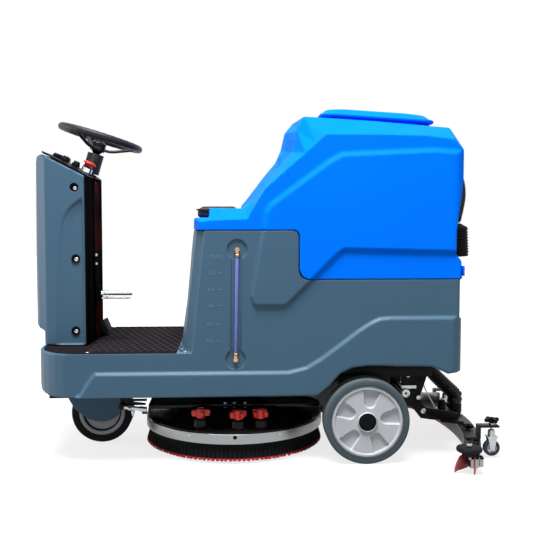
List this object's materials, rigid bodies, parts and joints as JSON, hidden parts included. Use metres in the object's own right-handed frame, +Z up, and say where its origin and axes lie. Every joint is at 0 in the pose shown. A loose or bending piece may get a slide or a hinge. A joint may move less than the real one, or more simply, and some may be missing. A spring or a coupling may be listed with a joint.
{
  "type": "ride-on floor scrubber",
  "caption": "Battery ride-on floor scrubber-dryer: driver platform, steering column, seat on a tilting recovery tank, round brush deck and curved rear squeegee on casters.",
  "frame": {"origin": "on the floor, under the centre of the machine's overall box", "axes": "+X towards the rear squeegee, the front wheel at -X, +Y to the machine's right, +Z up"},
  "size_m": [1.4314, 0.87, 1.0704],
  "materials": {
    "grey_polyethylene": "rotomoulded blue-grey polyethylene, faint orange-peel",
    "blue_polyethylene": "rotomoulded bright blue polyethylene, satin gloss",
    "black_plastic": "moulded black plastic",
    "black_painted_steel": "black powder coat",
    "bright_steel": "bright nickel or chrome plate",
    "aluminium_strip": "brushed aluminium",
    "black_rubber": "black rubber",
    "grey_tyre": "non-marking grey rubber",
    "silver_plastic": "silver-grey moulded plastic",
    "red_plastic": "red moulded plastic",
    "red_polyurethane": "red polyurethane squeegee strip",
    "brass": "plain brass",
    "clear_tube": "clear flexible tube with a bluish tint",
    "bristle_nylon": "black nylon bristles with red tips",
    "black_vinyl": "black grained vinyl, padded",
    "navy_rubber": "dark blue rubber"
  },
  "bodies": {
    "machine": {"solution_tank": "grey_polyethylene", "chassis_frame": "black_painted_steel", "front_shroud": "grey_polyethylene", "column_panel": "black_plastic", "dashboard": "black_plastic", "display_bezel": "black_plastic", "floor_mat": "black_rubber", "battery_left": "black_plastic", "battery_right": "black_plastic", "controller_box": "black_plastic", "column_sleeve": "black_plastic", "level_tube": "clear_tube", "gauge_fitting_top": "brass", "gauge_fitting_bottom": "brass", "tank_hinge_lower": "black_painted_steel", "vacuum_hose": "black_plastic", "rear_axle": "bright_steel", "lift_cable": "bright_steel", "feed_pipe": "bright_steel"},
    "recovery": {"recovery_tank": "blue_polyethylene", "seat_cushion": "black_vinyl", "vacuum_motor": "black_plastic", "tank_hinge_upper": "black_painted_steel", "drain_hose": "black_plastic", "drain_cap": "black_plastic"},
    "lid": {"tank_lid": "blue_polyethylene"},
    "fork": {"front_fork": "black_painted_steel", "wheel_guard": "grey_polyethylene"},
    "steering": {"steering_wheel": "black_plastic"},
    "front_wheel": {"front_tyre": "black_rubber", "front_hub": "silver_plastic"},
    "rear_wheel_left": {"rear_tyre_left": "grey_tyre", "rear_hub_left": "silver_plastic"},
    "rear_wheel_right": {"rear_tyre_right": "grey_tyre", "rear_hub_right": "silver_plastic"},
    "deck": {"deck_cover": "black_plastic", "deck_band": "aluminium_strip", "brush_motor": "black_plastic", "star_knob_1": "red_plastic", "star_knob_2": "red_plastic", "star_knob_3": "red_plastic"},
    "brush": {"brush_disc": "black_plastic", "brush_bristles": "bristle_nylon"},
    "squeegee": {"squeegee_arm": "black_painted_steel", "squeegee_body": "black_painted_steel", "blade_front": "red_polyurethane", "blade_rear": "red_polyurethane", "suction_port": "black_plastic"},
    "caster_left": {"caster_fork_left": "bright_steel"},
    "caster_right": {"caster_fork_right": "bright_steel"},
    "caster_wheel_left": {"caster_wheel_left": "navy_rubber"},
    "caster_wheel_right": {"caster_wheel_right": "navy_rubber"},
    "roller_left": {"bumper_roller_left": "black_rubber"},
    "roller_right": {"bumper_roller_right": "black_rubber"},
    "accelerator": {"accelerator_pedal": "black_plastic"},
    "lift_pedal": {"lift_lever": "black_painted_steel"},
    "e_stop": {"e_stop_head": "red_plastic"},
    "knob_front": {"rocker_front": "black_plastic"},
    "knob_rear": {"rocker_rear": "black_plastic"}
  },
  "joints": [
    {"name": "tank_tilt", "type": "hinge", "parent": "machine", "child": "recovery", "pos_m": [0.59925, 0, 0.5475], "axis": [0, 1, 0], "range_deg": [0, 75]},
    {"name": "lid_open", "type": "hinge", "parent": "recovery", "child": "lid", "pos_m": [0.17675, 0, 1.0445], "axis": [0, -1, 0], "range_deg": [0, 100]},
    {"name": "fork_steer", "type": "hinge", "parent": "machine", "child": "fork", "pos_m": [-0.51775, 0, 0.2], "axis": [0, 0, 1], "range_deg": [-60, 60]},
    {"name": "steering_turn", "type": "hinge", "parent": "machine", "child": "steering", "pos_m": [-0.51625, 0, 0.985], "axis": [0.2857, 0, 0.9583], "range_deg": [-150, 150]},
    {"name": "front_wheel_spin", "type": "hinge", "parent": "fork", "child": "front_wheel", "pos_m": [-0.51775, 0, 0.098], "axis": [0, 1, 0], "continuous": true},
    {"name": "rear_wheel_left_spin", "type": "hinge", "parent": "machine", "child": "rear_wheel_left", "pos_m": [0.30175, -0.2685, 0.127], "axis": [0, 1, 0], "continuous": true},
    {"name": "rear_wheel_right_spin", "type": "hinge", "parent": "machine", "child": "rear_wheel_right", "pos_m": [0.30175, 0.2685, 0.127], "axis": [0, 1, 0], "continuous": true},
    {"name": "deck_lift", "type": "slide", "parent": "machine", "child": "deck", "axis": [0, 0, 1], "range_m": [0, 0.035]},
    {"name": "brush_spin", "type": "hinge", "parent": "deck", "child": "brush", "pos_m": [-0.08825, 0, 0.05], "axis": [0, 0, 1], "continuous": true},
    {"name": "squeegee_lift", "type": "hinge", "parent": "machine", "child": "squeegee", "pos_m": [0.46875, 0, 0.15], "axis": [0, -1, 0], "range_deg": [0, 12], "deforming": ["vacuum_hose", "lift_cable"]},
    {"name": "caster_left_swivel", "type": "hinge", "parent": "squeegee", "child": "caster_left", "pos_m": [0.69075, -0.252, 0.08], "axis": [0, 0, 1], "continuous": true},
    {"name": "caster_left_spin", "type": "hinge", "parent": "caster_left", "child": "caster_wheel_left", "pos_m": [0.69075, -0.252, 0.031], "axis": [0, 1, 0], "continuous": true},
    {"name": "roller_left_spin", "type": "hinge", "parent": "squeegee", "child": "roller_left", "pos_m": [0.57658, -0.398, 0.071], "axis": [0, 0, 1], "continuous": true},
    {"name": "caster_right_swivel", "type": "hinge", "parent": "squeegee", "child": "caster_right", "pos_m": [0.69075, 0.252, 0.08], "axis": [0, 0, 1], "continuous": true},
    {"name": "caster_right_spin", "type": "hinge", "parent": "caster_right", "child": "caster_wheel_right", "pos_m": [0.69075, 0.252, 0.031], "axis": [0, 1, 0], "continuous": true},
    {"name": "roller_right_spin", "type": "hinge", "parent": "squeegee", "child": "roller_right", "pos_m": [0.57658, 0.398, 0.071], "axis": [0, 0, 1], "continuous": true},
    {"name": "accelerator_press", "type": "hinge", "parent": "machine", "child": "accelerator", "pos_m": [-0.52725, 0.08, 0.352], "axis": [0, 1, 0], "range_deg": [0, 12], "stiffness_Nm_per_rad": 2, "springref_deg": -11.46},
    {"name": "lift_pedal_raise", "type": "hinge", "parent": "machine", "child": "lift_pedal", "pos_m": [-0.52175, -0.06, 0.618], "axis": [0, -1, 0], "range_deg": [0, 20]},
    {"name": "e_stop_press", "type": "slide", "parent": "machine", "child": "e_stop", "axis": [-0.4375, 0, -0.8992], "range_m": [0, 0.004], "stiffness_N_per_m": 600, "springref_m": -0.003},
    {"name": "knob_front_turn", "type": "hinge", "parent": "machine", "child": "knob_front", "pos_m": [-0.6139, -0.085, 0.904], "axis": [0.4375, 0, 0.8992], "range_deg": [-45, 45]},
    {"name": "knob_rear_turn", "type": "hinge", "parent": "machine", "child": "knob_rear", "pos_m": [-0.5819, -0.085, 0.8884], "axis": [0.4375, 0, 0.8992], "range_deg": [-45, 45]}
  ],
  "couplings": [
    {"joint": "steering_turn", "follows": "fork_steer", "ratio": 2.5}
  ]
}
